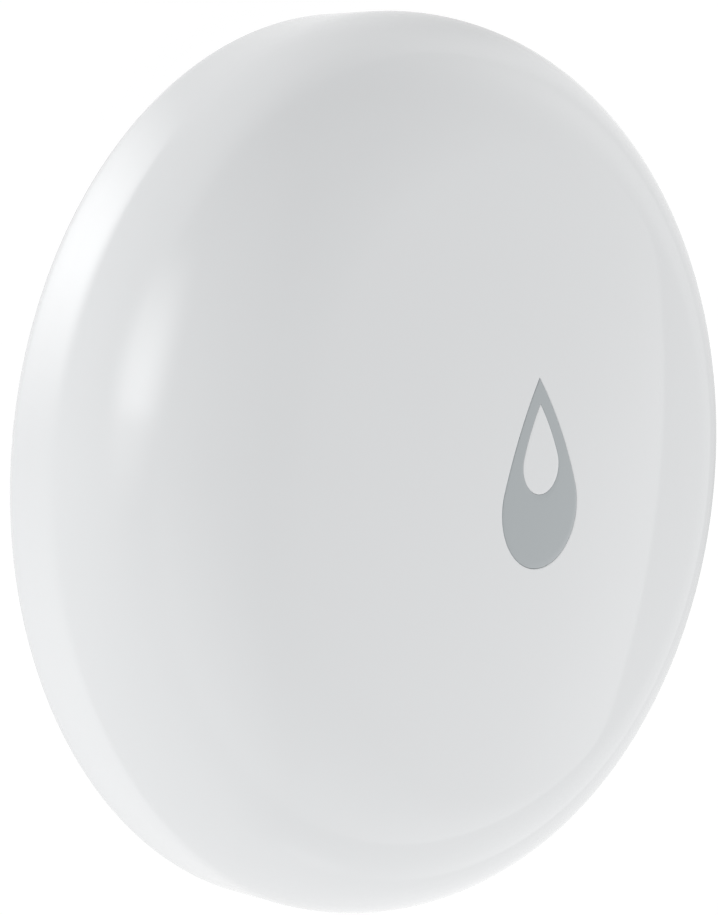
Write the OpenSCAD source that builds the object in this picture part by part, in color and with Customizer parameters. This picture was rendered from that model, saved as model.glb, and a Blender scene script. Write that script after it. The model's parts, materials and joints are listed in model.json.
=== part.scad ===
// Round water leak sensor: a domed one-piece shell over an inset base, with a
// drop-shaped key in the face, a coin-cell door and two sensing screws below.
// Millimetres, Z up. The origin is on the surface that it stands on, under the
// middle of the disc, and the tip of the drop points to +Y.

/* [Housing] */
// Diameter at the widest line
body_d = 50; // [49:0.5:60]
// Overall height, feet included
total_h = 15; // [14.75:0.25:18]
// Height of the widest line above the shell's lower edge
widest_h = 4.4; // [4.2:0.1:5]
// Radius of the shoulder between wall and face
shoulder_r = 9; // [8:0.25:9.75]
// Radius of the rounded lower edge
edge_r = 1.4; // [0.6:0.1:1.5]
// Wall thickness of the shell
wall = 1.6; // [1.5:0.1:2]
// Number of ribs in the shell that stop the base
rib_count = 6; // [3:1:8]
// Thickness of a stop rib
rib_t = 1.2; // [0.8:0.1:2]

/* [Drop key] */
// Width of the drop
drop_w = 6.5; // [4:0.1:7]
// Length of the drop, from tip to bulb
drop_l = 10.2; // [9:0.1:10.8]
// Radius of the drop's side arcs
drop_side_r = 23; // [18:1:80]
// Distance of the drop's tip from the middle of the face
drop_tip_y = 5.45; // [4.8:0.05:5.7]
// Width of the window, the inner drop
window_w = 3.1; // [2:0.1:3.4]
// Length of the window
window_l = 4.85; // [4:0.05:5.2]
// Radius of the window's side arcs
window_side_r = 12.5; // [10:0.5:60]
// Distance from the drop's tip to the window's tip
window_inset = 1.37; // [1.2:0.05:1.8]
// Gap round the key in its opening
key_gap = 0.12; // [0.08:0.01:0.2]
// How far the key's flange reaches past the drop's outline
flange_reach = 0.8; // [0.5:0.1:1]
// Thickness of the key's flange
flange_t = 0.7; // [0.5:0.1:1]
// Diameter of the stem under the key
key_stem_d = 2.2; // [1.6:0.1:2.4]
// Distance of the stem behind the middle of the face
key_stem_y = 2.7; // [2.5:0.1:3]

/* [Diaphragm] */
// Inner diameter of the tube that carries the diaphragm
tube_d = 15.8; // [15.2:0.2:18]
// Wall of that tube
tube_t = 1.2; // [0.9:0.1:1.6]
// Thickness of the diaphragm
membrane_t = 0.4; // [0.3:0.05:0.6]
// Height of the nub under the diaphragm
nub_h = 0.3; // [0.2:0.05:0.5]
// Thickness of the clamping ring
ring_t = 1; // [0.8:0.1:1.4]
// How far the clamping ring climbs the tube
ring_grip = 1.4; // [0.8:0.1:1.6]
// Width of the ring's lip under the diaphragm, inside the tube
ring_lip = 1; // [0.6:0.1:1.2]

/* [Base] */
// Thickness of the base's floor
base_floor = 1.4; // [1.2:0.1:1.8]
// Thickness of the base's skirt
skirt_t = 1.7; // [1.6:0.1:2]
// Height of the skirt
skirt_h = 4.8; // [4.6:0.1:5.4]
// Section diameter of the base's O-ring
base_seal_d = 1; // [0.8:0.05:1.1]
// Height of the O-ring's middle above the base's underside
base_seal_h = 1.9; // [1.6:0.1:2.1]
// Height of the snap tooth above the base's underside
snap_h = 3.3; // [3.2:0.1:3.5]
// Reach of the snap tooth
snap_reach = 0.4; // [0.25:0.05:0.5]
// Length of a snap tooth along the rim, in degrees
snap_angle = 24; // [12:1:40]
// Height of the feet under the base
foot_h = 0.4; // [0.3:0.1:0.8]
// Diameter of a foot
foot_d = 2.6; // [2:0.1:3.4]
// Bevel on the foot's edge
foot_bevel = 0.2; // [0.1:0.05:0.25]
// Number of feet, posts and snap teeth
post_count = 4; // [4:4:8]

/* [Battery door] */
// Diameter of the door
cover_d = 28; // [27:0.5:29]
// Thickness of the door's flange
cover_flange_t = 0.95; // [0.9:0.05:1.1]
// Thickness of the door's floor
cover_floor = 1.6; // [1.5:0.1:1.8]
// Outer diameter of the door's neck
neck_d = 24.6; // [24.4:0.1:25]
// Wall of the neck
neck_t = 1.05; // [0.8:0.05:1.1]
// Reach of a bayonet lug past the neck
lug_reach = 1; // [0.8:0.05:1.3]
// Height of a lug
lug_h = 0.7; // [0.6:0.1:1.1]
// Length of a lug along the neck, in degrees
lug_angle = 30; // [20:1:32]
// Number of lugs
lug_count = 3; // [2:1:3]
// Turn from locked to open, in degrees
open_angle = 45; // [40:1:48]
// Thickness of the base's lip that the lugs hold
lip_t = 0.7; // [0.6:0.1:1.2]
// Section diameter of the door's O-ring
cover_seal_d = 1.1; // [0.5:0.05:1.2]
// Length of the coin slot
slot_l = 15; // [10:0.5:18]
// Width of the coin slot
slot_w = 2; // [1.6:0.1:2.6]
// Depth of the coin slot
slot_depth = 1; // [0.7:0.1:1.1]
// Bevel on the edges of the door and of its recess
cover_bevel = 0.25; // [0.1:0.05:0.3]
// Length of the door's pointer and of the base's mark for locked
mark_l = 1.6; // [1:0.1:2]
// Width of the marks on the base
mark_w = 0.6; // [0.4:0.1:0.8]
// Depth of the pointer and the marks
mark_depth = 0.3; // [0.2:0.05:0.4]
// Distance of the pointer and the marks from the door's edge
mark_edge = 0.6; // [0.5:0.1:0.8]

/* [Coin cell] */
// Diameter of the cell
cell_d = 20; // [19.5:0.1:20.2]
// Height of the cell
cell_h = 3.2; // [2.5:0.1:3.4]
// Diameter of the cell's cap, its negative pole
cell_cap_d = 17.6; // [16:0.1:18]
// Height of the step between the can's rim and the cap
cell_step = 0.25; // [0.15:0.05:0.4]
// Wall of the cell holder
holder_t = 0.8; // [0.6:0.05:0.85]
// Thickness of the contacts' sheet metal
contact_t = 0.25; // [0.15:0.05:0.3]
// Width of the contacts
contact_w = 4; // [3:0.5:6]
// Room over the cell for the leaf spring
spring_room = 1; // [0.8:0.1:2]

/* [Circuit board] */
// Thickness of the board
board_t = 1; // [0.8:0.1:1.6]
// Gap between the board and the stop ribs
board_margin = 1.2; // [0.6:0.1:2]
// Distance of the board's screws from its edge
screw_edge = 2.1; // [1.8:0.1:3]
// Side of the tact switch
switch_w = 3.6; // [3.2:0.1:4]
// Height of the tact switch
switch_h = 1.75; // [1.4:0.05:2]
// Diameter of the switch's stem
switch_stem_d = 1.8; // [1.2:0.1:2]
// How far the stem stands out of the switch
stem_out = 0.7; // [0.6:0.05:1]
// Travel of the key and the stem
press_travel = 0.3; // [0.2:0.05:0.4]
// Side of the radio chip
chip_w = 6; // [4:0.5:8]
// Height of the radio chip
chip_h = 0.85; // [0.6:0.05:1.2]
// Post diameter under the board
post_d = 3.6; // [3:0.1:4]
// Shank diameter of a board screw
screw_d = 1.6; // [1.2:0.1:1.8]
// Head diameter of a board screw
screw_head_d = 3; // [2.4:0.1:3.4]
// Head height of a board screw
screw_head_h = 1.2; // [0.8:0.1:1.6]
// Length of a board screw under its head
screw_l = 5.8; // [4:0.2:6]
// Length of the indicator light
led_l = 1.6; // [1:0.1:2]
// Width of the indicator light
led_w = 0.8; // [0.5:0.1:1.2]
// Height of the indicator light's base
led_base_h = 0.3; // [0.2:0.05:0.5]
// Length of the indicator light's lens
led_lens_l = 1.1; // [0.8:0.1:1.6]
// Height of the indicator light's lens
led_lens_h = 0.3; // [0.2:0.05:0.6]
// Length of the crystal
crystal_l = 3.2; // [2:0.1:5]
// Width of the crystal
crystal_w = 2.5; // [1.6:0.1:3.2]
// Height of the crystal
crystal_h = 0.7; // [0.5:0.05:1]
// Width of the antenna's trace
trace_w = 0.6; // [0.3:0.05:0.8]
// Thickness of the antenna's trace
trace_t = 0.1; // [0.05:0.01:0.2]
// Space between the legs of the antenna's meander
trace_gap = 1.2; // [0.6:0.1:1.4]
// Length of the antenna's legs
antenna_l = 4; // [3:0.1:5]
// Number of pairs of legs
antenna_pairs = 5; // [3:1:5]
// Distance of the antenna from the board's edge
antenna_edge = 3.1; // [2.5:0.1:4]
// Length of a small component
chip_part_l = 1; // [0.6:0.1:1.6]
// Width of a small component
chip_part_w = 0.5; // [0.3:0.05:0.8]
// Height of a small component
chip_part_h = 0.45; // [0.2:0.05:0.8]
// Distance from one small component to the next
chip_part_step = 1.5; // [1:0.1:2]
// Number of small components in each of the two rows
chip_part_count = 4; // [2:1:5]

/* [Sensing screws] */
// Head diameter of a sensing screw
probe_head_d = 4.4; // [3.6:0.1:4.8]
// Height of the head's rim
probe_rim_h = 0.45; // [0.3:0.05:0.5]
// Height of the head's dome
probe_dome_h = 0.45; // [0.3:0.05:0.6]
// Shank diameter of a sensing screw
probe_d = 2.4; // [2:0.1:2.6]
// Distance from the surface below to the head
probe_clear = 0.15; // [0.1:0.05:0.3]
// Section diameter of the seal under a head
probe_seal_d = 0.7; // [0.5:0.05:0.8]
// Diameter of a brass insert
insert_d = 3.8; // [3.4:0.1:4]
// Length of a brass insert
insert_l = 3.4; // [2.5:0.1:3.6]
// How far an insert stands out of its boss
insert_out = 1; // [0.5:0.1:1.5]
// Wall of the boss round a recess or an insert
boss_wall = 0.9; // [0.7:0.1:1]

/* [Screw recesses] */
// Length of the cross recess in a screw's head
cross_l = 2; // [1.4:0.1:2.2]
// Width of the cross recess
cross_w = 0.5; // [0.3:0.05:0.7]
// Depth of the cross recess
cross_depth = 0.5; // [0.3:0.05:0.6]

/* [Clearances] */
// Gap between pieces that are fixed to each other
seat_gap = 0.05; // [0.02:0.01:0.1]
// Gap between the door and the base
turn_gap = 0.15; // [0.1:0.01:0.2]

/* [Hidden] */
$fn = 128;
cut = 1;
body_r = body_d / 2;
edge_land = 0.1;
edge = min(edge_r, wall - edge_land);
widest_z = foot_h + widest_h;

// The face is a sphere that meets the shoulder arc smoothly and ends at the overall height
dome_h = total_h - widest_z;
least_rise = 0.9;
shoulder = min(shoulder_r, dome_h - least_rise);
shoulder_c = body_r - shoulder;
cap_rise = dome_h - shoulder;
cap_c = (pow(cap_rise, 2) - pow(shoulder_c, 2)) / (2 * cap_rise);
face_r = dome_h - cap_c;
face_slope = asin(shoulder_c / (face_r - shoulder));
// The face lies a hair low, so that its arc and the shoulder's cross instead of only touching
hair = 0.002;
face_z = widest_z + cap_c - hair;

// Radii of the base, from the shell inwards
bore_r = body_r - wall;
base_r = bore_r - seat_gap;
skirt_r = base_r - skirt_t;
base_groove_r = bore_r - base_seal_d - seat_gap;
base_groove_h = base_seal_d + 4 * seat_gap;
cover_r = cover_d / 2;
recess_rim_r = cover_r + turn_gap;
lock_turn = 90 + open_angle / 2;
neck_r = neck_d / 2;
lip_r = neck_r + turn_gap;
lug_r = neck_r + lug_reach;
notch_r = lug_r + turn_gap;
seal_bore_r = max(notch_r + seat_gap, neck_r + cover_seal_d + 2 * seat_gap);
bay_r = lug_r + 2 * turn_gap;
bay_wall_r = max(bay_r + boss_wall, recess_rim_r + boss_wall);
holder_r = cell_d / 2 + turn_gap;
band_r = (bay_wall_r + skirt_r) / 2;
board_r = skirt_r - board_margin;
post_r = board_r - screw_edge;

// Heights, from the surface upwards
flange_top = foot_h + cover_flange_t;
lip_z = flange_top + cover_seal_d + 2 * seat_gap;
lip_top = lip_z + lip_t;
lug_z = lip_top + seat_gap;
neck_top = lug_z + lug_h;
bay_top = neck_top + turn_gap;
cell_z = foot_h + cover_floor + seat_gap;
cell_top = cell_z + cell_h;
board_z = cell_top + spring_room;
board_top = board_z + board_t;
skirt_top = foot_h + skirt_h;
switch_top = board_top + switch_h;
stem_top = switch_top + stem_out;
membrane_z = stem_top + seat_gap + nub_h;
tube_z = membrane_z + membrane_t;

// Radii and heights round the key
tube_r = tube_d / 2;
tube_out_r = tube_r + tube_t;
inner_face_r = face_r - wall;
pad_z = face_z + sqrt(pow(inner_face_r, 2) - pow(tube_r, 2));
flange_z = pad_z - seat_gap - flange_t;
grip_r = tube_out_r + seat_gap;
grip_room_z = face_z + sqrt(pow(inner_face_r, 2) - pow(grip_r + ring_t, 2)) - turn_gap;
grip_top = min(tube_z + ring_grip, grip_room_z);
drop_y = drop_tip_y - drop_l + drop_w / 2;
window_y = drop_tip_y - window_inset - window_l + window_w / 2;

// Sensing screws, from the head upwards
probe_z = probe_clear + probe_dome_h + probe_rim_h;
probe_seat_z = probe_z + probe_seal_d + seat_gap;
insert_z = board_z - insert_l;
recess_r = probe_head_d / 2 + turn_gap;
boss_r = max(recess_r, insert_d / 2 + seat_gap) + boss_wall;
post_turn = 180 / post_count;

WHITE = [0.93, 0.94, 0.94];
GREY = [0.66, 0.69, 0.70];
SILICONE = [0.86, 0.87, 0.87];
RUBBER = [0.15, 0.15, 0.16];
STEEL = [0.75, 0.76, 0.78];
BRASS = [0.80, 0.66, 0.32];
GREEN = [0.10, 0.36, 0.22];
BLACK = [0.09, 0.09, 0.10];

// Half section under the face and the shoulder, drawn a given distance inside the outer surface
module dome_half(inset) {
    face_edge = shoulder_c + (shoulder - inset) * sin(face_slope);
    intersection() {
        translate([0, face_z])
            circle(r = face_r - inset, $fn = 2 * $fn);
        translate([0, widest_z])
            square([face_edge, total_h]);
    }
    translate([shoulder_c, widest_z])
        intersection() {
            circle(r = shoulder - inset);
            square(shoulder + cut);
        }
}

// Half section of the whole body, with the rounded lower edge
module body_half() {
    dome_half(0);
    polygon([
        [0, foot_h], [body_r - edge, foot_h], [body_r - edge, foot_h + edge],
        [body_r, foot_h + edge], [body_r, widest_z], [0, widest_z]
    ]);
    translate([body_r - edge, foot_h + edge])
        intersection() {
            circle(r = edge);
            translate([0, -edge])
                square(edge);
        }
}

// Half section of the room inside the shell, open below
module room_half(inset) {
    dome_half(inset);
    translate([0, foot_h - cut])
        square([body_r - inset, widest_h + cut]);
}

// Points along an arc
function arc(middle, r, from, to, steps) =
    [for (i = [0 : steps]) let (a = from + (to - from) * i / steps) middle + r * [cos(a), sin(a)]];

// A pointed drop: a bulb and two side arcs that run smoothly into it and meet at the tip
module drop_outline(w, l, side_r, grow = 0) {
    b = w / 2;
    tip = l - b;
    y = (pow(tip, 2) - 2 * side_r * b + pow(b, 2)) / (2 * tip);
    x = sqrt(pow(side_r - b, 2) - pow(y, 2));
    join = atan2(-y, x);
    point = acos(x / (side_r + grow));
    side_steps = 6;
    bulb_steps = 40;
    right = arc([-x, y], side_r + grow, join, point, side_steps);
    left = arc([x, y], side_r + grow, 180 - point, 180 - join, side_steps);
    bulb = arc([0, 0], b + grow, 180 - join, 360 + join, bulb_steps);
    polygon(concat(
        [for (i = [0 : side_steps]) right[i]],
        [for (i = [1 : side_steps]) left[i]],
        [for (i = [1 : bulb_steps - 1]) bulb[i]]
    ));
}

// The key's outline in place, grown by a given amount
module key_outline(grow = 0) {
    translate([0, drop_y])
        drop_outline(drop_w, drop_l, drop_side_r, grow);
}

// The window's outline in place, grown by a given amount
module window_outline(grow = 0) {
    translate([0, window_y])
        drop_outline(window_w, window_l, window_side_r, grow);
}

// The ball that the face is part of, its poles turned away from the face
module face_ball()
    translate([0, 0, face_z])
        rotate([90, 0, 0])
            sphere(r = face_r, $fn = 2 * $fn);

// A prism from a given height up to the face
module up_to_face(z) {
    intersection() {
        translate([0, 0, z])
            linear_extrude(total_h + cut - z)
                children();
        face_ball();
    }
}

// A ring with a square section
module ring(inner, outer, z, h) {
    translate([0, 0, z])
        difference() {
            cylinder(r = outer, h = h);
            translate([0, 0, -cut])
                cylinder(r = inner, h = h + 2 * cut);
        }
}

// Part of a ring, centred on the X axis
module ring_part(inner, outer, z, h, angle) {
    rotate([0, 0, -angle / 2])
        rotate_extrude(angle = angle)
            translate([inner, z])
                square([outer - inner, h]);
}

// A ring with a round section
module o_ring(middle, section_r, z) {
    rotate_extrude()
        translate([middle, z])
            circle(r = section_r);
}

// Copies round the axis
module around(count, start = 0) {
    for (i = [0 : count - 1])
        rotate([0, 0, start + i * 360 / count])
            children();
}

// A block that stands on the board
module on_board(x, y, w, l, h) {
    translate([x - w / 2, y - l / 2, board_top])
        cube([w, l, h]);
}

// Middle of the face: a tube below it carries the diaphragm, and the key passes through it
module face_hub()
    difference() {
        up_to_face(tube_z)
            circle(r = tube_out_r);
        translate([0, 0, tube_z - cut])
            cylinder(r = tube_r, h = pad_z - tube_z + cut);
        translate([0, 0, pad_z - cut])
            linear_extrude(total_h)
                key_outline(key_gap);
    }

// Ribs inside the wall that stop the base's skirt
module stop_ribs()
    intersection() {
        around(rib_count, 180 / rib_count)
            translate([skirt_r, -rib_t / 2, skirt_top])
                cube([body_r - skirt_r, rib_t, total_h - skirt_top]);
        rotate_extrude()
            room_half(wall / 2);
    }

module outer_shell() color(WHITE)
    difference() {
        union() {
            rotate_extrude()
                difference() {
                    body_half();
                    room_half(wall);
                    translate([0, widest_z])
                        square([tube_out_r, total_h]);
                }
            face_hub();
            stop_ribs();
        }
        ring(bore_r - cut, bore_r + snap_reach, foot_h + snap_h - seat_gap, 2 * (snap_reach + seat_gap));
    }

module drop_button() color(GREY) {
    difference() {
        union() {
            up_to_face(flange_z)
                key_outline();
            translate([0, 0, flange_z])
                linear_extrude(flange_t)
                    intersection() {
                        key_outline(flange_reach);
                        circle(r = tube_r - 2 * key_gap);
                    }
            translate([0, -key_stem_y, tube_z + seat_gap])
                cylinder(d = key_stem_d, h = flange_z + flange_t - tube_z - seat_gap);
        }
        translate([0, 0, flange_z - cut])
            linear_extrude(total_h)
                window_outline();
    }
}

module drop_window() color(WHITE)
    up_to_face(flange_z)
        window_outline();

module button_membrane() color(SILICONE) {
    translate([0, 0, membrane_z])
        cylinder(r = tube_out_r, h = membrane_t);
    translate([0, -key_stem_y, membrane_z - nub_h])
        cylinder(d = key_stem_d, h = nub_h + membrane_t / 2);
}

module membrane_ring() color(WHITE) {
    low_z = membrane_z - ring_t;
    ring(tube_r - ring_lip, grip_r + ring_t, low_z, ring_t);
    ring(grip_r, grip_r + ring_t, low_z + ring_t / 2, grip_top - low_z - ring_t / 2);
}

module switch_stem() color(BLACK)
    translate([0, -key_stem_y, switch_top - 2 * press_travel])
        cylinder(d = switch_stem_d, h = stem_out + 2 * press_travel);

module switch_cover() color(STEEL)
    difference() {
        translate([-switch_w / 2, -key_stem_y - switch_w / 2, switch_top - contact_t])
            cube([switch_w, switch_w, contact_t]);
        translate([0, -key_stem_y, switch_top - contact_t - cut])
            cylinder(d = switch_stem_d + 2 * turn_gap, h = contact_t + 2 * cut);
    }

module switch_body() color(BLACK) {
    well = 3 * press_travel + contact_t;
    difference() {
        on_board(0, -key_stem_y, switch_w, switch_w, switch_h - contact_t);
        translate([0, -key_stem_y, switch_top - contact_t - well])
            cylinder(d = switch_stem_d + 2 * turn_gap, h = well + cut);
    }
}

module indicator_led() color(WHITE) {
    on_board(0, window_y, led_l, led_w, led_base_h);
    on_board(0, window_y, led_lens_l, led_w, led_base_h + led_lens_h);
}

module radio_chip() color(BLACK)
    on_board(-board_r / 2, chip_w, chip_w, chip_w, chip_h);

module crystal() color(STEEL)
    on_board(crystal_w / 2, tube_out_r + crystal_l, crystal_w, crystal_l, crystal_h);

// A flat meander that runs along a chord near the board's edge
module antenna() color(BRASS) {
    pitch = trace_w + trace_gap;
    near_y = antenna_edge - board_r;
    for (i = [0 : 2 * antenna_pairs])
        on_board((i - antenna_pairs) * pitch, near_y + antenna_l / 2, trace_w, antenna_l, trace_t);
    for (i = [0 : 2 * antenna_pairs - 1])
        on_board((i - antenna_pairs + 0.5) * pitch, near_y + (i % 2) * (antenna_l - trace_w) + trace_w / 2,
            pitch + trace_w, trace_w, trace_t);
}

module chip_components() color(BRASS)
    for (side = [-1, 1])
        for (i = [2 : chip_part_count + 1])
            on_board(tube_out_r + 2 * chip_part_l, side * i * chip_part_step,
                chip_part_l, chip_part_w, chip_part_h);

module circuit_board() color(GREEN)
    translate([0, 0, board_z])
        difference() {
            cylinder(r = board_r, h = board_t);
            around(post_count, post_turn)
                translate([post_r, 0, -cut])
                    cylinder(d = screw_d + 2 * seat_gap, h = board_t + 2 * cut);
        }

module board_screws() color(STEEL)
    around(post_count, post_turn)
        translate([post_r, 0, board_top])
            difference() {
                union() {
                    cylinder(d = screw_head_d, h = screw_head_h);
                    translate([0, 0, -screw_l])
                        cylinder(d = screw_d, h = screw_l + screw_head_h / 2);
                }
                translate([0, 0, screw_head_h - cross_depth])
                    cross_cut();
            }

// The cross recess of a screw's head, from its floor upwards
module cross_cut()
    for (turn = [0, 90])
        rotate([0, 0, turn])
            translate([-cross_l / 2, -cross_w / 2, 0])
                cube([cross_l, cross_w, cross_depth + cut]);

module contact_plus() color(STEEL) {
    side_y = cell_d / 2 + seat_gap;
    tab_l = 3;
    translate([-contact_w / 2, side_y, bay_top])
        cube([contact_w, contact_t, board_z - bay_top]);
    translate([-contact_w / 2, side_y, board_z - contact_t])
        cube([contact_w, holder_t + tab_l, contact_t]);
}

// A leaf that leaves the board, slopes down and lies on the cell's cap
module contact_minus() color(STEEL) {
    far = (cell_cap_d - contact_w / 2) / 2;
    near = cell_cap_d / 8;
    touch = cell_top + seat_gap;
    translate([0, contact_w / 2, 0])
        rotate([90, 0, 0])
            linear_extrude(contact_w)
                polygon([
                    [-far, board_z - contact_t], [-near, board_z - contact_t], [near, touch],
                    [2 * near, touch], [2 * near, touch + contact_t], [near, touch + contact_t],
                    [-near, board_z], [-far, board_z]
                ]);
}

module cell_holder() color(BLACK) {
    slot = contact_w + 4 * turn_gap;
    difference() {
        ring(holder_r, holder_r + holder_t, bay_top, board_z - bay_top);
        translate([-slot / 2, 0, bay_top - cut])
            cube([slot, holder_r + holder_t + cut, board_z - bay_top + 2 * cut]);
    }
}

module coin_cell() color(STEEL)
    translate([0, 0, cell_z]) {
        cylinder(d = cell_d, h = cell_h - cell_step);
        cylinder(d = cell_cap_d, h = cell_h);
    }

// A round-headed screw, head down, seen from the surface upwards
module probe_screw(side) color(STEEL) {
    head_r = probe_head_d / 2;
    dome_r = (pow(head_r, 2) + pow(probe_dome_h, 2)) / (2 * probe_dome_h);
    translate([side * band_r, 0, 0])
        difference() {
            union() {
                translate([0, 0, probe_clear])
                    intersection() {
                        translate([0, 0, dome_r])
                            sphere(r = dome_r);
                        cylinder(r = head_r + cut, h = probe_dome_h);
                    }
                translate([0, 0, probe_z - probe_rim_h])
                    cylinder(r = head_r, h = probe_rim_h);
                translate([0, 0, probe_z - probe_rim_h / 2])
                    cylinder(d = probe_d, h = board_z - probe_z);
            }
            translate([0, 0, probe_clear - cut])
                cross_cut();
        }
}

module probe_screw_left()
    probe_screw(-1);

module probe_screw_right()
    probe_screw(1);

module probe_seals() color(RUBBER)
    for (side = [-1, 1])
        translate([side * band_r, 0, 0])
            o_ring((probe_d + probe_seal_d) / 2 + seat_gap, probe_seal_d / 2,
                probe_z + (probe_seal_d + seat_gap) / 2);

module probe_inserts() color(BRASS)
    for (side = [-1, 1])
        translate([side * band_r, 0, 0])
            ring(probe_d / 2 + seat_gap, insert_d / 2, insert_z, insert_l);

// Solid forms of the base, before its bores are cut
module base_solid() {
    boss_top = board_z - insert_out;
    translate([0, 0, foot_h]) {
        cylinder(r = base_r, h = base_floor);
        cylinder(r = bay_wall_r, h = lip_top - foot_h);
    }
    ring(skirt_r, base_r, foot_h, skirt_h);
    ring(bay_r, bay_wall_r, lip_top - cut / 2, bay_top - lip_top + cut / 2);
    around(post_count, post_turn)
        translate([post_r, 0, foot_h])
            cylinder(d = post_d, h = board_z - foot_h);
    for (side = [-1, 1])
        translate([side * band_r, 0, foot_h])
            cylinder(r = boss_r, h = boss_top - foot_h);
}

// Teeth round the skirt, with a lead-in below and above
module snap_teeth() {
    root = skirt_t / 4;
    around(post_count)
        rotate([0, 0, -snap_angle / 2])
            rotate_extrude(angle = snap_angle)
                translate([base_r, foot_h + snap_h])
                    polygon([
                        [-root, -root], [snap_reach, snap_reach], [-root, 2 * snap_reach + root]
                    ]);
}

module base_plate() color(WHITE) {
    lug_step = 360 / lug_count;
    stop_angle = 4;
    stop_gap = 1;
    stop_turn = (lug_angle + stop_angle) / 2 + stop_gap;
    difference() {
        base_solid();
        translate([0, 0, foot_h - cut]) {
            cylinder(r = recess_rim_r, h = flange_top + seat_gap - foot_h + cut);
            cylinder(r1 = recess_rim_r + cover_bevel + cut, r2 = recess_rim_r, h = cover_bevel + cut);
        }
        lock_marks();
        translate([0, 0, foot_h])
            cylinder(r = seal_bore_r, h = lip_z - foot_h);
        translate([0, 0, foot_h - cut])
            cylinder(r = lip_r, h = lip_top - foot_h + 2 * cut);
        around(lug_count, -open_angle)
            ring_part(lip_r - cut, notch_r, lip_z - cut, lip_t + 2 * cut, lug_angle + stop_gap);
        ring(base_groove_r, base_r + cut, foot_h + base_seal_h - base_groove_h / 2, base_groove_h);
        for (side = [-1, 1])
            translate([side * band_r, 0, 0]) {
                translate([0, 0, foot_h - cut])
                    cylinder(r = recess_r, h = probe_seat_z - foot_h + cut);
                cylinder(r = probe_d / 2 + seat_gap, h = board_z);
                translate([0, 0, insert_z - seat_gap])
                    cylinder(r = insert_d / 2 + seat_gap, h = insert_l);
            }
        around(post_count, post_turn)
            translate([post_r, 0, board_top - screw_l - seat_gap])
                cylinder(d = screw_d + 2 * seat_gap, h = screw_l);
    }
    around(lug_count)
        for (turn = [stop_turn, -open_angle - stop_turn])
            rotate([0, 0, turn])
                ring_part(lip_r + turn_gap, bay_r + boss_wall / 2, lip_top - lip_t / 2,
                    lug_h + lip_t / 2, stop_angle);
    around(post_count, post_turn)
        translate([post_r, 0, 0])
            foot();
    snap_teeth();
}

// A foot with a bevelled edge, its root in the base's floor
module foot() {
    foot_top = foot_h + base_floor / 4;
    rotate_extrude()
        polygon([
            [0, 0], [foot_d / 2 - foot_bevel, 0], [foot_d / 2, foot_bevel],
            [foot_d / 2, foot_top], [0, foot_top]
        ]);
}

// Engraved marks beside the door: a long one for locked and a short one for open
module lock_marks()
    for (mark = [[lock_turn, mark_l], [lock_turn - open_angle, mark_l / 2]])
        rotate([0, 0, mark[0]])
            translate([recess_rim_r + mark_edge, -mark_w / 2, foot_h - cut])
                cube([mark[1], mark_w, mark_depth + cut]);

module base_seal() color(RUBBER)
    o_ring(bore_r - base_seal_d / 2 - seat_gap / 2, base_seal_d / 2, foot_h + base_seal_h);

module battery_cover() color(WHITE)
    difference() {
        union() {
            cover_disc();
            translate([0, 0, foot_h])
                cylinder(r = neck_r, h = cover_floor);
            ring(neck_r - neck_t, neck_r, foot_h, neck_top - foot_h);
            around(lug_count)
                ring_part(neck_r - neck_t / 2, lug_r, lug_z, lug_h, lug_angle);
        }
        translate([0, 0, foot_h - cut])
            linear_extrude(slot_depth + cut)
                coin_slot();
        door_pointer();
    }

// The door's flange, with a bevelled edge
module cover_disc()
    rotate_extrude()
        polygon([
            [0, foot_h], [cover_r - cover_bevel, foot_h], [cover_r, foot_h + cover_bevel],
            [cover_r, flange_top], [0, flange_top]
        ]);

// An engraved triangle near the door's edge, which points at the marks on the base
module door_pointer()
    rotate([0, 0, lock_turn])
        translate([cover_r - mark_edge, 0, foot_h - cut])
            linear_extrude(mark_depth + cut)
                polygon([[0, 0], [-mark_l, mark_l / 2], [-mark_l, -mark_l / 2]]);

// A long slot with round ends
module coin_slot() {
    end_x = (slot_l - slot_w) / 2;
    square([2 * end_x, slot_w], center = true);
    for (side = [-1, 1])
        translate([side * end_x, 0])
            circle(d = slot_w);
}

module cover_seal() color(RUBBER)
    o_ring((neck_r + seal_bore_r) / 2, cover_seal_d / 2, flange_top + seat_gap + cover_seal_d / 2);

outer_shell();
drop_button();
drop_window();
button_membrane();
membrane_ring();
switch_stem();
switch_cover();
switch_body();
indicator_led();
radio_chip();
crystal();
antenna();
chip_components();
circuit_board();
board_screws();
contact_plus();
contact_minus();
cell_holder();
coin_cell();
probe_screw_left();
probe_screw_right();
probe_seals();
probe_inserts();
base_plate();
base_seal();
battery_cover();
cover_seal();
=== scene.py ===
import json
import math

import bpy
from mathutils import Euler, Matrix, Vector


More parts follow.
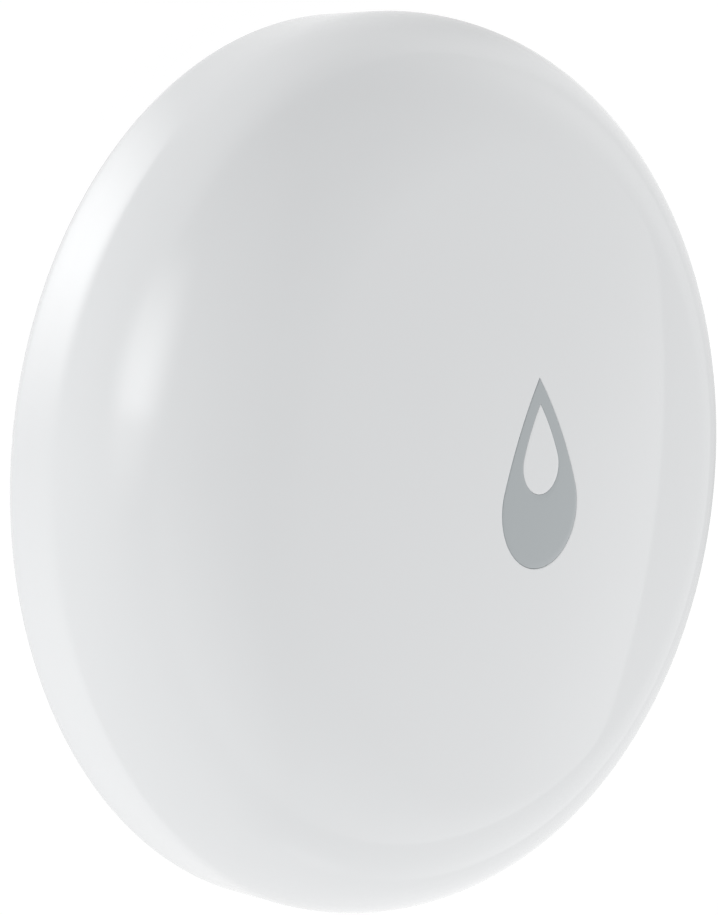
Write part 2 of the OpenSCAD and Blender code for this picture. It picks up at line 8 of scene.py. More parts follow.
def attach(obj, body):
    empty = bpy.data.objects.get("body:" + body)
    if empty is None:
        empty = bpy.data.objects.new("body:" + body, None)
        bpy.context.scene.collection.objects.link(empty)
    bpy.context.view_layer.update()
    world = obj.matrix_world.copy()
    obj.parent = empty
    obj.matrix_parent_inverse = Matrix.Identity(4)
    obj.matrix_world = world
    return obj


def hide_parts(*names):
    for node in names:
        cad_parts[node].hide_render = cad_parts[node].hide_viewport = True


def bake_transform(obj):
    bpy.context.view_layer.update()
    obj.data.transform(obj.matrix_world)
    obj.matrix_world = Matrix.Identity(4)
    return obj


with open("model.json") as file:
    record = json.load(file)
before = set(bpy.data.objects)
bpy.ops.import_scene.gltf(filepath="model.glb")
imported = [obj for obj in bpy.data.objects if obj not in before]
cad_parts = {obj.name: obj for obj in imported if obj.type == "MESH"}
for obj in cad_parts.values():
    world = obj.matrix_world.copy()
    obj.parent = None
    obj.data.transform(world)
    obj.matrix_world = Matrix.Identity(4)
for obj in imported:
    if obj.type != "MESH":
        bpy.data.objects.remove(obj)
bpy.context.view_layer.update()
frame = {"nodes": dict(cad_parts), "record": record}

MM = 0.001
QUARTER = math.pi / 2

# Sizes of the CAD model, in millimetres
BODY_R = 25.0
FOOT_H = 0.4
WIDEST_Z = 4.8
TOTAL_H = 15.0
SHOULDER_R = 9.0
SHOULDER_C = BODY_R - SHOULDER_R
EDGE_R = 1.4
EDGE_Z = FOOT_H + EDGE_R
WALL = 1.6
BORE_R = BODY_R - WALL
DOME_H = TOTAL_H - WIDEST_Z
CAP_RISE = DOME_H - SHOULDER_R
CAP_C = (CAP_RISE ** 2 - SHOULDER_C ** 2) / (2 * CAP_RISE)
FACE_R = DOME_H - CAP_C
FACE_Z = WIDEST_Z + CAP_C
FACE_SLOPE = math.asin(SHOULDER_C / (FACE_R - SHOULDER_R))
TUBE_R = 7.9
TUBE_OUT_R = 9.1
TUBE_Z = 10.45
PAD_Z = FACE_Z + math.sqrt((FACE_R - WALL) ** 2 - TUBE_R ** 2)
FLANGE_T = 0.7
FLANGE_GAP = 0.05
FLANGE_Z = PAD_Z - FLANGE_GAP - FLANGE_T
FLANGE_REACH = 0.8
FLANGE_CLEAR = 0.24
DROP_TIP_Y = 5.45
WINDOW_BELOW_TIP = 1.37
DROP = dict(w=6.5, l=10.2, side_r=23.0, tip_y=DROP_TIP_Y)
WINDOW = dict(w=3.1, l=4.85, side_r=12.5, tip_y=DROP_TIP_Y - WINDOW_BELOW_TIP)
KEY_STEM_R = 1.1
KEY_STEM_Y = -2.7
MEMBRANE_T = 0.4
NUB_H = 0.3

# Fine sizes that the CAD model leaves out: seams, and the radius of small rounded edges
SEAM = 0.012
SHELL_ROUND = 0.05
KEY_ROUND = 0.05
WINDOW_GAP = 0.008
WINDOW_ROUND = 0.03
LIP_ROUND = 0.1

# How finely the outlines and profiles are divided
SIDE_N = 44
BULB_N = 104
ROUND_N = 4


def drop_ring(w, l, side_r, tip_y, grow=0.0):
    """A drop's outline, grown by an amount: from the tip down one side, round the bulb and back."""
    bulb_r = w / 2
    tip = l - bulb_r
    arc_y = (tip ** 2 - 2 * side_r * bulb_r + bulb_r ** 2) / (2 * tip)
    arc_x = math.sqrt((side_r - bulb_r) ** 2 - arc_y ** 2)
    join = math.atan2(-arc_y, arc_x)
    point = math.acos(arc_x / (side_r + grow))
    bulb_y = tip_y - tip
    right = []
    for i in range(SIDE_N + 1):
        a = point + (join - point) * i / SIDE_N
        right.append((-arc_x + (side_r + grow) * math.cos(a), arc_y + (side_r + grow) * math.sin(a)))
    bulb = []
    for i in range(1, BULB_N):
        a = join + (-math.pi - 2 * join) * i / BULB_N
        bulb.append(((bulb_r + grow) * math.cos(a), (bulb_r + grow) * math.sin(a)))
    left = [(-x, y) for x, y in reversed(right[1:])]
    return [(x, y + bulb_y) for x, y in right + bulb + left]


def face_height(r):
    return FACE_Z + math.sqrt(FACE_R ** 2 - r ** 2)


def on_face(ring, sink=0.0):
    return [(x, y, face_height(math.hypot(x, y)) - sink) for x, y in ring]


def at_height(ring, z):
    return [(x, y, z) for x, y in ring]


def between(a, b, t):
    return [(p[0] + (q[0] - p[0]) * t, p[1] + (q[1] - p[1]) * t) for p, q in zip(a, b)]


def angles_of(ring, centre_y):
    return [math.atan2(y - centre_y, x) for x, y in ring]


def circle(angles, r):
    return [(r * math.cos(a), r * math.sin(a)) for a in angles]


def clipped(ring, limit):
    """An outline whose points stay within a radius."""
    out = []
    for x, y in ring:
        k = min(1.0, limit / math.hypot(x, y))
        out.append((x * k, y * k))
    return out


def rounded_edge(outline, grow, widen):
    """Rings from a drop-shaped wall up to the face, over an edge that opens or narrows by its radius."""
    rings = []
    for i in range(ROUND_N + 1):
        t = QUARTER * i / ROUND_N
        ring = drop_ring(**outline, grow=grow + widen * (1 - math.cos(t)))
        rings.append(on_face(ring, abs(widen) * (1 - math.sin(t))))
    return rings


def face_bands(a, b, bands):
    """Rings on the face between two outlines, without the outlines themselves."""
    return [on_face(between(a, b, i / bands)) for i in range(1, bands)]


def turned_arc(angles, centre, radius, start, end, steps, first=0):
    """Rings round the axis along an arc of the profile; its centre is a radius and a height."""
    rings = []
    for i in range(first, steps + 1):
        a = start + (end - start) * i / steps
        ring = circle(angles, centre[0] + radius * math.cos(a))
        rings.append(at_height(ring, centre[1] + radius * math.sin(a)))
    return rings


def linked(name, data):
    """A new object in the scene."""
    obj = bpy.data.objects.new(name, data)
    bpy.context.scene.collection.objects.link(obj)
    return obj


class Build:
    """Collects vertices in millimetres and faces, then makes one mesh object in metres."""

    def __init__(self):
        self.verts = []
        self.faces = []

    def ring(self, points):
        first = len(self.verts)
        self.verts.extend(points)
        return list(range(first, first + len(points)))

    def join(self, a, b):
        n = len(a)
        for i in range(n):
            k = (i + 1) % n
            self.faces.append((a[i], a[k], b[k], b[i]))

    def loft(self, rings, close=False):
        ids = [self.ring(r) for r in rings]
        for a, b in zip(ids, ids[1:]):
            self.join(a, b)
        if close:
            self.join(ids[-1], ids[0])
        return ids

    def cap(self, ids, centre):
        self.verts.append(centre)
        c = len(self.verts) - 1
        n = len(ids)
        for i in range(n):
            self.faces.append((ids[i], ids[(i + 1) % n], c))

    def make(self, name, body, slot, node, sharp=40.0):
        """The piece that stands for a CAD node; it rides on a body, where one is given."""
        mesh = bpy.data.meshes.new(name)
        mesh.from_pydata([(x * MM, y * MM, z * MM) for x, y, z in self.verts], [], self.faces)
        mesh.validate()
        mesh.update()
        obj = linked(name, mesh)
        bpy.context.view_layer.objects.active = obj
        obj.select_set(True)
        bpy.ops.object.mode_set(mode="EDIT")
        bpy.ops.mesh.select_all(action="SELECT")
        bpy.ops.mesh.normals_make_consistent(inside=False)
        bpy.ops.object.mode_set(mode="OBJECT")
        bpy.ops.object.shade_smooth_by_angle(angle=math.radians(sharp))
        obj.select_set(False)
        mesh.materials.append(MATERIALS[slot])
        if body:
            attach(obj, body)
        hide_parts(node)
        return obj


class Tree:
    """The nodes of a material or world, with short ways to add and join them."""

    def __init__(self, owner):
        owner.use_nodes = True
        self.nodes = owner.node_tree.nodes
        self.links = owner.node_tree.links

    def feed(self, socket, value):
        """Joins a socket to another node's output, or sets it to a plain value."""
        if isinstance(value, bpy.types.NodeSocket):
            self.links.new(value, socket)
        else:
            socket.default_value = value

    def add(self, kind, inputs=None, **settings):
        """A new node with its settings, and with its inputs by name or by place."""
        node = self.nodes.new("ShaderNode" + kind)
        for name, value in settings.items():
            setattr(node, name, value)
        for key, value in (inputs or {}).items():
            self.feed(node.inputs[key], value)
        return node

    def maths(self, operation, *values):
        return self.add("Math", dict(enumerate(values)), operation=operation).outputs["Value"]

    def vectors(self, operation, *values):
        node = self.add("VectorMath", dict(enumerate(values)), operation=operation)
        return node.outputs["Value" if operation == "LENGTH" else "Vector"]

    def plus(self, total, mask, strength):
        """A total with a mask times a strength added to it."""
        return self.maths("MULTIPLY_ADD", mask, strength, total)

    def product(self, first, *others):
        for mask in others:
            first = self.maths("MULTIPLY", first, mask)
        return first

    def rise(self, value, low, high):
        """A smooth step from 0 at one value to 1 at another; the first may be the higher one."""
        ends = (0.0, 1.0) if low < high else (1.0, 0.0)
        step = self.add("MapRange", {
            "Value": value,
            "From Min": min(low, high),
            "From Max": max(low, high),
            "To Min": ends[0],
            "To Max": ends[1],
        }, interpolation_type="SMOOTHSTEP")
        return step.outputs["Result"]

    def spot(self, vector, turn, tilt, centre, half, edge, roll=0.0):
        """An oval mask with a soft edge, in a turned and tilted vector: 1 inside and 0 outside."""
        rotation = [math.radians(a) for a in (roll, -tilt, turn)]
        turned = self.add("Mapping", {"Vector": vector, "Rotation": rotation}, vector_type="TEXTURE")
        moved = self.vectors("SUBTRACT", turned.outputs["Vector"], centre)
        scaled = self.vectors("MULTIPLY", moved, [1 / h for h in half])
        return self.rise(self.vectors("LENGTH", scaled), 1 + edge, 1 - edge)

    def oval(self, direction, turn, tilt, width, height, edge, roll=0.0):
        """An oval mask round a direction, with nothing on the opposite side."""
        depth = 0.8
        return self.spot(direction, turn, tilt, (1, 0, 0), (depth, width, height), edge, roll)


# Materials

# The range in which the noise texture mostly stays
NOISE_RANGE = (0.3, 0.7)
TINT_SCALE = 160.0
GLOSS_SCALE = 420.0
LINE_SHADE = 0.86
LINE_BUMP = 0.25


def noise(tree, scale, detail=3.0, stretch=None):
    """Noise in the object's own space, drawn out into lines where it is stretched."""
    vector = tree.add("TexCoord").outputs["Object"]
    if stretch:
        vector = tree.add("Mapping", {"Vector": vector, "Scale": stretch}).outputs["Vector"]
    return tree.add("TexNoise", {"Vector": vector, "Scale": scale, "Detail": detail}).outputs["Fac"]


def surface(tree, tint, gloss, grain, dark, light, rough, strength, depth, soft):
    """Colour, roughness and fine relief by three masks; edges are shaded as rounded by soft millimetres."""
    shader = tree.nodes["Principled BSDF"]
    colour = tree.add("Mix", {"Factor": tint, "A": (*dark, 1), "B": (*light, 1)}, data_type="RGBA")
    tree.feed(shader.inputs["Base Color"], colour.outputs["Result"])
    polish = tree.add("MapRange", {
        "Value": gloss,
        "From Min": NOISE_RANGE[0],
        "From Max": NOISE_RANGE[1],
        "To Min": rough[0],
        "To Max": rough[1],
    })
    tree.feed(shader.inputs["Roughness"], polish.outputs["Result"])
    relief = tree.add("Bump", {"Height": grain, "Strength": strength, "Distance": depth})
    if soft:
        edges = tree.add("Bevel", {"Radius": soft * MM}, samples=8)
        tree.feed(relief.inputs["Normal"], edges.outputs["Normal"])
    tree.feed(shader.inputs["Normal"], relief.outputs["Normal"])
    return shader


def moulded(name, colour, rough, spread=0.02, grain=9000.0, depth=0.000004, strength=0.1, soft=0.0):
    """Moulded plastic: slight tint and gloss variation, and a fine grain."""
    material = bpy.data.materials.new(name)
    tree = Tree(material)
    masks = [noise(tree, scale) for scale in (TINT_SCALE, GLOSS_SCALE, grain)]
    dark = tuple(c * (1 - spread) for c in colour)
    light = tuple(min(1.0, c * (1 + spread)) for c in colour)
    surface(tree, *masks, dark, light, rough, strength, depth, soft)
    return material


def metal(name, colour, rough, stretch, grain=2500.0, depth=0.000006, soft=0.0):
    """Metal with fine drawn or turned lines along one direction."""
    material = bpy.data.materials.new(name)
    tree = Tree(material)
    lines = noise(tree, grain, 4.0, stretch)
    dark = tuple(c * LINE_SHADE for c in colour)
    shader = surface(tree, lines, lines, lines, dark, colour, rough, LINE_BUMP, depth, soft)
    shader.inputs["Metallic"].default_value = 1.0
    return material


PLASTICS = {
    "shell_white": dict(colour=(0.808, 0.82, 0.83), rough=(0.03, 0.05), spread=0.006, strength=0.02),
    "drop_grey": dict(colour=(0.428, 0.461, 0.476), rough=(0.06, 0.10), spread=0.01, strength=0.02),
    "window_white": dict(colour=(0.808, 0.82, 0.83), rough=(0.06, 0.10), spread=0.006, strength=0.02),
    "silicone": dict(colour=(0.72, 0.73, 0.73), rough=(0.45, 0.6), spread=0.03),
    "inner_white": dict(colour=(0.76, 0.77, 0.77), rough=(0.4, 0.55), spread=0.02, strength=0.2),
    "base_white": dict(
        colour=(0.76, 0.775, 0.78), rough=(0.42, 0.58), spread=0.015,
        grain=6500.0, depth=0.00002, strength=0.35, soft=0.12,
    ),
    "black_plastic": dict(
        colour=(0.028, 0.028, 0.03), rough=(0.4, 0.6), spread=0.2,
        grain=5000.0, depth=0.00002, strength=0.3,
    ),
    "ceramic": dict(
        colour=(0.46, 0.37, 0.27), rough=(0.4, 0.6), spread=0.12,
        grain=5000.0, depth=0.00001, strength=0.3,
    ),
    "board_green": dict(
        colour=(0.02, 0.16, 0.075), rough=(0.25, 0.4), spread=0.12,
        grain=1800.0, depth=0.00001, strength=0.25,
    ),
    "seal_rubber": dict(
        colour=(0.022, 0.022, 0.023), rough=(0.6, 0.8), spread=0.15,
        grain=6000.0, depth=0.00001, strength=0.3,
    ),
}
METALS = {
    "steel": dict(colour=(0.62, 0.63, 0.65), rough=(0.22, 0.38), stretch=(1.0, 12.0, 12.0)),
    "probe_steel": dict(colour=(0.70, 0.71, 0.72), rough=(0.12, 0.26), stretch=(1.0, 1.0, 8.0), soft=0.06),
    "brass": dict(colour=(0.74, 0.57, 0.24), rough=(0.2, 0.36), stretch=(1.0, 1.0, 10.0)),
}
MATERIALS = {name: moulded(name, **look) for name, look in PLASTICS.items()}
MATERIALS.update({name: metal(name, **look) for name, look in METALS.items()})

record_slots = {part["node"]: part["material_slot"] for part in frame["record"]["subparts"]}


# Domed shell

# The point that the shell's rings are spread round, and the depth of the ring inside the opening
SPREAD_Y = -0.3
OPENING_DEPTH = 0.7
# Rings on the face near the opening, which crowd towards it, and from there to the shoulder
NEAR_N = 18
NEAR_CROWDING = 1.3
FAR_N = 12
SHOULDER_N = 40
WALL_N = 5
EDGE_N = 14
LIP_N = 3
INSIDE_N = 12


def shell():
    build = Build()
    hole = drop_ring(**DROP, grow=SEAM)
    rim = drop_ring(**DROP, grow=SEAM + SHELL_ROUND)
    angles = angles_of(drop_ring(**DROP), SPREAD_Y)
    wide = circle(angles, TUBE_OUT_R)
    rings = [at_height(hole, PAD_Z), on_face(hole, OPENING_DEPTH)]
    rings += rounded_edge(DROP, SEAM, SHELL_ROUND)
    for i in range(1, NEAR_N + 1):
        rings.append(on_face(between(rim, wide, (i / NEAR_N) ** NEAR_CROWDING)))
    face_edge = SHOULDER_C + SHOULDER_R * math.sin(FACE_SLOPE)
    rings += face_bands(wide, circle(angles, face_edge), FAR_N)
    slope = QUARTER - FACE_SLOPE
    rings += turned_arc(angles, (SHOULDER_C, WIDEST_Z), SHOULDER_R, slope, 0, SHOULDER_N)
    for i in range(1, WALL_N):
        rings.append(at_height(circle(angles, BODY_R), WIDEST_Z + (EDGE_Z - WIDEST_Z) * i / WALL_N))
    rings += turned_arc(angles, (BODY_R - EDGE_R, EDGE_Z), EDGE_R, 0, -QUARTER, EDGE_N)
    lip = (BORE_R + LIP_ROUND, FOOT_H + LIP_ROUND)
    rings += turned_arc(angles, lip, LIP_ROUND, -QUARTER, -math.pi, LIP_N, first=1)
    rings += turned_arc(angles, (SHOULDER_C, WIDEST_Z), SHOULDER_R - WALL, 0, slope, INSIDE_N)
    roof = FACE_Z + math.sqrt((FACE_R - WALL) ** 2 - TUBE_OUT_R ** 2)
    for r, z in ((TUBE_OUT_R, roof), (TUBE_OUT_R, TUBE_Z), (TUBE_R, TUBE_Z), (TUBE_R, PAD_Z)):
        rings.append(at_height(circle(angles, r), z))
    build.loft(rings, close=True)
    build.make("shell", "housing", "shell_white", "outer_shell")


# Key and window

KEY_BANDS = 10
STEM_N = 48
# The stem's end: shares of its radius, and heights over the diaphragm
STEM_END = ((1, 0.15), (0.94, 0.07), (0.82, 0.05))
WINDOW_BANDS = 8
WINDOW_MIDDLE = (0.0, 0.8)


def key():
    build = Build()
    inner = drop_ring(**WINDOW, grow=WINDOW_ROUND)
    outer = drop_ring(**DROP, grow=-KEY_ROUND)
    flange = clipped(drop_ring(**DROP, grow=FLANGE_REACH), TUBE_R - FLANGE_CLEAR)
    flange_top = FLANGE_Z + FLANGE_T
    rings = [at_height(drop_ring(**WINDOW), FLANGE_Z)]
    rings += rounded_edge(WINDOW, 0.0, WINDOW_ROUND)
    rings += face_bands(inner, outer, KEY_BANDS)
    rings += reversed(rounded_edge(DROP, 0.0, -KEY_ROUND))
    rings.append(at_height(drop_ring(**DROP), flange_top))
    rings.append(at_height(flange, flange_top))
    rings.append(at_height(flange, FLANGE_Z))
    build.loft(rings, close=True)
    angles = [2 * math.pi * i / STEM_N for i in range(STEM_N)]
    levels = [(1, FLANGE_Z)] + [(share, TUBE_Z + over) for share, over in STEM_END]
    stem = []
    for share, z in levels:
        stem.append([(x, y + KEY_STEM_Y, z) for x, y in circle(angles, KEY_STEM_R * share)])
    ids = build.loft(stem)
    build.cap(ids[-1], (0, KEY_STEM_Y, TUBE_Z + STEM_END[-1][1]))
    build.make("key", "button", "drop_grey", "drop_button")


def window():
    build = Build()
    top = drop_ring(**WINDOW, grow=-WINDOW_GAP - WINDOW_ROUND)
    rings = [at_height(drop_ring(**WINDOW, grow=-WINDOW_GAP), FLANGE_Z)]
    rings += rounded_edge(WINDOW, -WINDOW_GAP, -WINDOW_ROUND)
    rings += face_bands(top, [WINDOW_MIDDLE] * len(top), WINDOW_BANDS)
    ids = build.loft(rings)
    build.cap(ids[-1], (*WINDOW_MIDDLE, face_height(math.hypot(*WINDOW_MIDDLE))))
    build.cap(list(reversed(ids[0])), (*WINDOW_MIDDLE, FLANGE_Z))
    build.make("window", "button", "window_white", "drop_window")


# Diaphragm

MEMBRANE_AROUND = 20
MEMBRANE_BANDS = 24


def membrane():
    """Four quarters round the key's stem, from the stem out to the clamped edge; they ride on no body."""
    low = TUBE_Z - MEMBRANE_T
    nub = low - NUB_H
    for quarter in range(4):
        build = Build()
        middle = build.ring([(0, KEY_STEM_Y, TUBE_Z), (0, KEY_STEM_Y, nub)])
        sections = []
        for i in range(MEMBRANE_AROUND + 1):
            a = QUARTER * (quarter + i / MEMBRANE_AROUND)
            c = math.cos(a)
            s = math.sin(a)
            edge = math.sqrt(TUBE_OUT_R ** 2 - (KEY_STEM_Y * c) ** 2) - KEY_STEM_Y * s
            reach = [KEY_STEM_R + (edge - KEY_STEM_R) * k / MEMBRANE_BANDS for k in range(MEMBRANE_BANDS + 1)]
            section = [(r, TUBE_Z) for r in reach]
            section += [(r, low) for r in reversed(reach)]
            section.append((KEY_STEM_R, nub))
            sections.append(build.ring([(r * c, KEY_STEM_Y + r * s, z) for r, z in section]))
        for a, b in zip(sections, sections[1:]):
            for k in range(len(a) - 1):
                build.faces.append((a[k], a[k + 1], b[k + 1], b[k]))
            build.faces.append((middle[0], a[0], b[0]))
            build.faces.append((middle[1], b[-1], a[-1]))
        for cut in (sections[0], sections[-1]):
            build.faces.append((middle[0], *cut, middle[1]))
        obj = build.make("membrane_%d" % (quarter + 1), None, "silicone", "button_membrane")
        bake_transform(obj)


shell()
key()
window()
membrane()


# CAD nodes that stay: a procedural material, and rounded edges in millimetres

ROUNDED = {
    "radio_chip": 0.05, "crystal": 0.1, "switch_body": 0.08, "switch_cover": 0.04, "coin_cell": 0.2,
    "cell_holder": 0.1, "board_screws": 0.1, "circuit_board": 0.08, "membrane_ring": 0.1,
}
REPLACED = ("outer_shell", "drop_button", "drop_window", "button_membrane")
MERGE_WITHIN = 0.002
FLAT_WITHIN = math.radians(0.5)
EDGE_FROM = math.radians(35)


def round_edges(obj, width):
    merge = obj.modifiers.new("merge", "WELD")
    merge.merge_threshold = MERGE_WITHIN * MM
    flat = obj.modifiers.new("flat", "DECIMATE")
    flat.decimate_type = "DISSOLVE"
    flat.angle_limit = FLAT_WITHIN
    edges = obj.modifiers.new("edges", "BEVEL")
    edges.width = width * MM
    edges.segments = 3
    edges.limit_method = "ANGLE"
    edges.angle_limit = EDGE_FROM
    edges.harden_normals = False


for name, obj in frame["nodes"].items():
    if name in REPLACED:
        continue
    obj.data.materials.clear()
    obj.data.materials.append(MATERIALS[record_slots[name]])
    if name in ROUNDED:
        round_edges(obj, ROUNDED[name])


# Light

# An oval of light: turn and tilt in degrees, half width and height as shares of its distance, the softness
# of its edge, and sometimes a roll in degrees. A negative strength takes light away.

# The soft lamp on the left, for matt surfaces alone
LAMP = (154.17, 5.79, 0.253, 0.201, 1.0, 6.5)
LAMP_STRENGTH = 3.7
# Lamps and dim places in the studio
STUDIO_OVALS = (
    ((30, 10, 0.4, 0.2, 1.0), 0.48),
    ((352, 4, 0.32, 0.1, 1.0), -0.14),
    ((100, 68, 0.35, 0.3, 1.0), 0.25),
    ((210, 40, 0.4, 0.3, 1.0), -0.08),
    ((270, 18, 0.6, 0.15, 1.0), -0.12),
    ((0, 90, 0.25, 0.25, 1.0), 0.2),
    ((281, 3, 0.14, 0.07, 0.5), 0.22),
)
# Even light: from all round, from +X, and from -X, -Y and -Z
AMBIENT = 0.02
FROM_PLUS_X = 0.975
FROM_MINUS = (0.56, 0.80, 0.5)
# The ceiling's light, and where it starts: a sharp edge that blurs towards +Y
CEILING = 0.28
CEILING_SHARP = (0.374, 0.380)
CEILING_SOFT = (0.2, 0.6)
CEILING_BLUR = (0.0, 0.35)
# A brighter strip along that edge: how it rises along X and Y, and fades upwards
STRIP = 0.16
STRIP_X = (0.1, 0.9)
STRIP_Y = (0.1, -0.12)
STRIP_Z = (0.6, 0.38)

# The small card by the left wall whose mirror image is the bright streak on the shell, in millimetres
CARD_AT = Vector((-37.1, 12.2, 10.4))
CARD_ROLL = -0.7
CARD_HALF = (9.1, 4.16)
CARD_STRENGTH = 3.57
# How many times its half size the glow takes to fade out, where along it the glow drops, and by what share
CARD_REACH = 2.0
CARD_DROP = (1.95, 6.0)
CARD_DROP_SHARE = 0.51

# The floor, in millimetres: its rings, and how far it lies under the feet
FLOOR_RINGS = (22.5, 60.0, 300.0, 2000.0)
FLOOR_AROUND = 96
FLOOR_SINK = 0.02
FLOOR_GREY = (0.16, 0.16, 0.16, 1)
FLOOR_GLOW = 0.817
FLOOR_SEEN_MORE = 0.073
# A bright strip by the rim, from one radius to another, with a turn in degrees, half a length and a strength
# for each of its glows
RIM_R = 27.0
RIM_HALF = 20.0
RIM_INSIDE = (24.6, 26.9)
RIM_OUTSIDE = (29.5, 28.3)
RIM_GLOWS = ((147.5, 6.5, 3.4), (195, 14.0, 0.7))
# Brighter and darker places of the floor, as ovals seen from a point above its middle
SIGHT_Z = 10.0
FLOOR_OVALS = (
    ((95, 0, 0.42, 0.12, 0.8), -0.6),
    ((352, -10, 0.2, 0.25, 1.0), -0.25),
    ((38, -2, 0.25, 0.25, 1.0), 0.22),
    ((290, -10, 0.4, 0.25, 1.0), 0.12),
    ((66, -15, 0.36, 0.1, 1.0), -0.25),
    ((350, -15, 0.5, 0.09, 1.0), -0.1),
)

WHITE = (1, 1, 1, 1)


def glowing(name):
    """A material with no nodes yet, whose light counts where a ray meets it."""
    material = bpy.data.materials.new(name)
    material.cycles.emission_sampling = "NONE"
    tree = Tree(material)
    tree.nodes.clear()
    return material, tree


def card():
    """A clear card, turned as the lamp is, that glows in reflections alone."""
    wide, high = [h * MM for h in CARD_HALF]
    corners = ((-1, -1), (1, -1), (1, 1), (-1, 1))
    verts = [(0, y * wide * CARD_REACH, z * high * CARD_REACH) for y, z in corners]
    mesh = bpy.data.meshes.new("card")
    mesh.from_pydata(verts, [], [(0, 1, 2, 3)])
    obj = linked("card", mesh)
    turn, tilt = LAMP[:2]
    turned = Euler([math.radians(a) for a in (CARD_ROLL, -tilt, turn)]).to_matrix()
    obj.matrix_world = Matrix.Translation(CARD_AT * MM) @ turned.to_4x4()
    material, tree = glowing("card_glow")
    local = tree.add("TexCoord").outputs["Object"]
    scaled = tree.vectors("MULTIPLY", local, (0, 1 / wide, 1 / high))
    spot = tree.rise(tree.vectors("LENGTH", scaled), CARD_REACH, 0)
    along = tree.add("SeparateXYZ", {"Vector": local}).outputs["Y"]
    drop = tree.rise(along, *[y * MM for y in CARD_DROP])
    kept = tree.plus(1, drop, -CARD_DROP_SHARE)
    mirrored = tree.add("LightPath").outputs["Is Glossy Ray"]
    glow = tree.add("Emission", {"Strength": tree.product(mirrored, spot, kept, CARD_STRENGTH)})
    clear = tree.add("BsdfTransparent")
    both = tree.add("AddShader", {0: glow.outputs[0], 1: clear.outputs[0]})
    tree.add("OutputMaterial", {"Surface": both.outputs[0]})
    mesh.materials.append(material)


def floor():
    """A white light table that glows evenly and keeps a shadow; reflections see brighter and darker places.

    It is clear from below and open under the base, so that the underside can be seen and lit.
    """
    verts = []
    for r in FLOOR_RINGS:
        for i in range(FLOOR_AROUND):
            a = 2 * math.pi * i / FLOOR_AROUND
            verts.append((r * math.cos(a) * MM, r * math.sin(a) * MM, -FLOOR_SINK * MM))
    faces = []
    for inner in range(0, len(verts) - FLOOR_AROUND, FLOOR_AROUND):
        outer = inner + FLOOR_AROUND
        for i in range(FLOOR_AROUND):
            j = (i + 1) % FLOOR_AROUND
            faces.append((inner + i, outer + i, outer + j, inner + j))
    mesh = bpy.data.meshes.new("floor")
    mesh.from_pydata(verts, [], faces)
    obj = linked("floor", mesh)
    material, tree = glowing("floor_white")
    path = tree.add("LightPath").outputs
    place = tree.add("NewGeometry").outputs
    radius = tree.vectors("LENGTH", place["Position"])
    inside, outside = [tree.rise(radius, *[r * MM for r in ends]) for ends in (RIM_INSIDE, RIM_OUTSIDE)]
    strip = tree.product(inside, outside)
    mirrored = 0.0
    for turn, reach, strength in RIM_GLOWS:
        half = (RIM_HALF * MM, reach * MM, 1)
        spot = tree.spot(place["Position"], turn, 0, (RIM_R * MM, 0, 0), half, 1.0)
        mirrored = tree.plus(mirrored, tree.product(spot, strip), strength)
    raised = tree.vectors("SUBTRACT", place["Position"], (0, 0, SIGHT_Z * MM))
    sight = tree.vectors("NORMALIZE", raised)
    for oval, strength in FLOOR_OVALS:
        mirrored = tree.plus(mirrored, tree.oval(sight, *oval), strength)
    even = tree.plus(FLOOR_GLOW, path["Is Camera Ray"], FLOOR_SEEN_MORE)
    glow = tree.add("Emission", {"Strength": tree.plus(even, path["Is Glossy Ray"], mirrored)})
    diffuse = tree.add("BsdfDiffuse", {"Color": FLOOR_GREY})
    both = tree.add("AddShader", {0: diffuse.outputs[0], 1: glow.outputs[0]})
    clear = tree.add("BsdfTransparent")
    sides = tree.add("MixShader", {"Fac": place["Backfacing"], 1: both.outputs[0], 2: clear.outputs[0]})
    tree.add("OutputMaterial", {"Surface": sides.outputs[0]})
    mesh.materials.append(material)


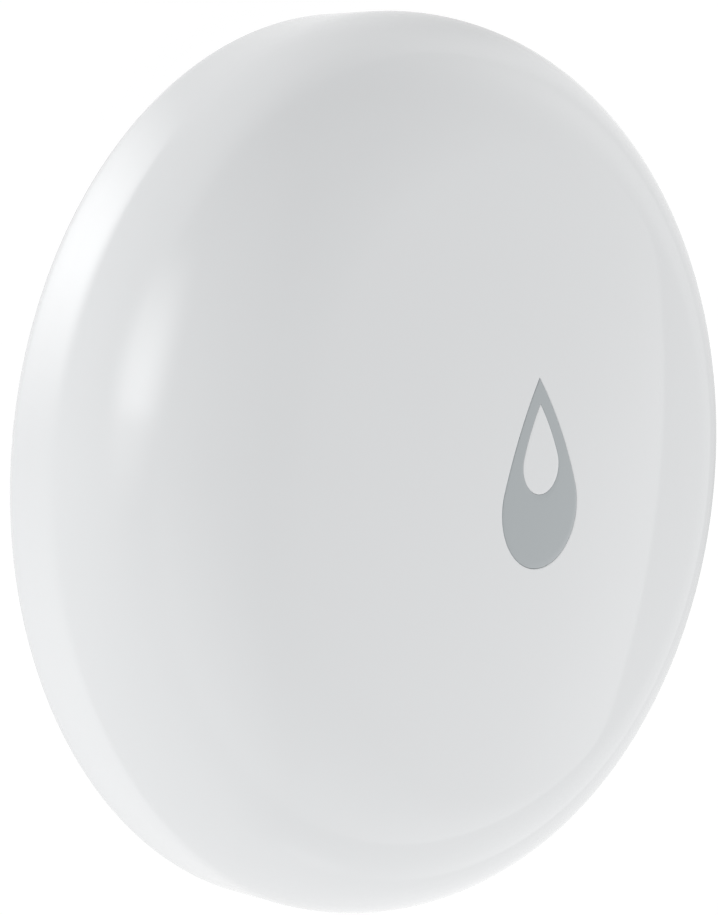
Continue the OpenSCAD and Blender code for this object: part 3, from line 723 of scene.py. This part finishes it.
def surroundings():
    """A pale studio, white behind the object; its soft light is dimmer above and towards the drop's tip."""
    world = bpy.data.worlds.new("world")
    bpy.context.scene.world = world
    tree = Tree(world)
    tree.nodes.clear()
    path = tree.add("LightPath").outputs
    direction = tree.add("TexCoord").outputs["Generated"]
    x, y, z = tree.add("SeparateXYZ", {"Vector": direction}).outputs
    total = tree.plus(AMBIENT, tree.maths("MAXIMUM", x, 0), FROM_PLUS_X)
    for axis, strength in zip((x, y, z), FROM_MINUS):
        opposite = tree.maths("MULTIPLY", axis, -1)
        total = tree.plus(total, tree.maths("MAXIMUM", opposite, 0), strength)
    sharp = tree.rise(z, *CEILING_SHARP)
    softer = tree.maths("SUBTRACT", tree.rise(z, *CEILING_SOFT), sharp)
    ceiling = tree.plus(sharp, tree.rise(y, *CEILING_BLUR), softer)
    total = tree.plus(total, ceiling, CEILING)
    strip = tree.product(sharp, tree.rise(x, *STRIP_X), tree.rise(y, *STRIP_Y), tree.rise(z, *STRIP_Z))
    total = tree.plus(total, strip, STRIP)
    matt = tree.plus(LAMP_STRENGTH, path["Is Glossy Ray"], -LAMP_STRENGTH)
    total = tree.plus(total, tree.oval(direction, *LAMP), matt)
    for oval, strength in STUDIO_OVALS:
        total = tree.plus(total, tree.oval(direction, *oval), strength)
    studio = tree.add("Background", {"Color": WHITE, "Strength": total})
    white = tree.add("Background", {"Color": WHITE, "Strength": 1.0})
    choose = tree.add("MixShader", {"Fac": path["Is Camera Ray"], 1: studio.outputs[0], 2: white.outputs[0]})
    tree.add("OutputWorld", {"Surface": choose.outputs[0]})


floor()
card()
surroundings()


# Camera, fitted to the outline in the photograph: angles, and lengths in millimetres

TILT = math.radians(49.6666)
ROLL = math.radians(6.1054)
TURN = math.radians(9.5189)
DISTANCE = 132.743
AIM = (-2.0677, 0.4062)
FOCAL_PX = 2370.57
PHOTO_H_PX = 915
SENSOR = 36.0

across = Vector((math.cos(TURN), -math.sin(TURN), 0))
along = Vector((math.sin(TURN), math.cos(TURN), 0))
upright = Vector((0, 0, 1))
leaning = math.cos(TILT) * across + math.sin(TILT) * upright
back = math.cos(TILT) * upright - math.sin(TILT) * across
right = math.cos(ROLL) * leaning + math.sin(ROLL) * along
up = -math.sin(ROLL) * leaning + math.cos(ROLL) * along
middle = Vector((0, 0, WIDEST_Z))
place = middle + DISTANCE * back
target = middle + AIM[0] * right + AIM[1] * up
look = (place - target).normalized()
side = up.cross(look).normalized()
top = look.cross(side)

camera_data = bpy.data.cameras.new("camera")
camera = linked("camera", camera_data)
camera_data.sensor_width = SENSOR
camera_data.lens = FOCAL_PX * SENSOR / PHOTO_H_PX
camera_data.clip_start = 0.005
camera_data.clip_end = 30.0
camera.matrix_world = Matrix((
    (side.x, top.x, look.x, place.x * MM),
    (side.y, top.y, look.y, place.y * MM),
    (side.z, top.z, look.z, place.z * MM),
    (0, 0, 0, 1),
))
bpy.context.scene.camera = camera
bpy.context.scene.view_settings.view_transform = "Standard"
